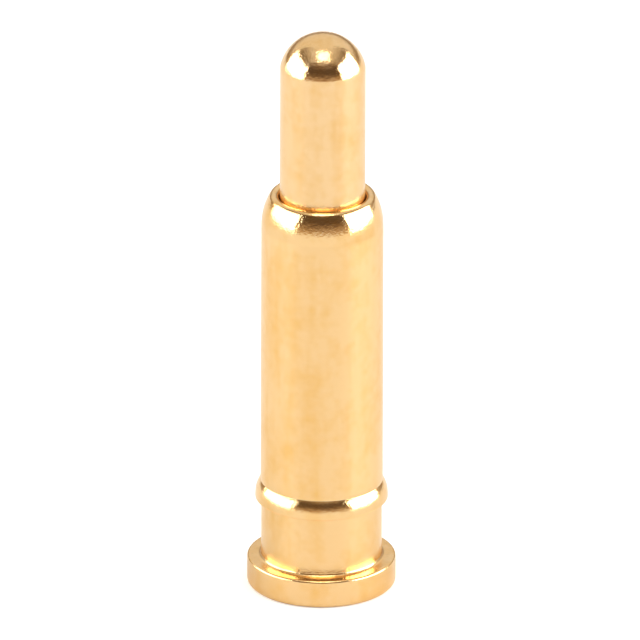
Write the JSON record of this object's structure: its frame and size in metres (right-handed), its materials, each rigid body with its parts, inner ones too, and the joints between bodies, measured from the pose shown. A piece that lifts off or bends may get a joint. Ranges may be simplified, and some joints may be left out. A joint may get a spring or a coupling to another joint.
{
  "type": "pogo pin",
  "caption": "Gold-plated spring contact pin: a domed plunger slides in a crimped barrel with a retention ring and a flat solder foot.",
  "frame": {"origin": "centre of the solder foot's underside", "axes": "+Z along the pin, from the solder foot to the contact tip; +X towards the high side of the plunger's bias-cut tail"},
  "size_m": [0.0018, 0.0018, 0.0073],
  "materials": {
    "barrel_gold": "polished gold plating on turned brass",
    "plunger_gold": "polished gold plating on turned brass",
    "spring_steel": "drawn stainless spring wire"
  },
  "bodies": {
    "barrel": {"barrel": "barrel_gold", "spring": "spring_steel"},
    "plunger": {"plunger": "plunger_gold"}
  },
  "joints": [
    {"name": "plunger_slide", "type": "slide", "parent": "barrel", "child": "plunger", "axis": [0, 0, -1], "range_m": [0, 0.0015], "stiffness_N_per_m": 200, "deforming": ["spring"]}
  ]
}
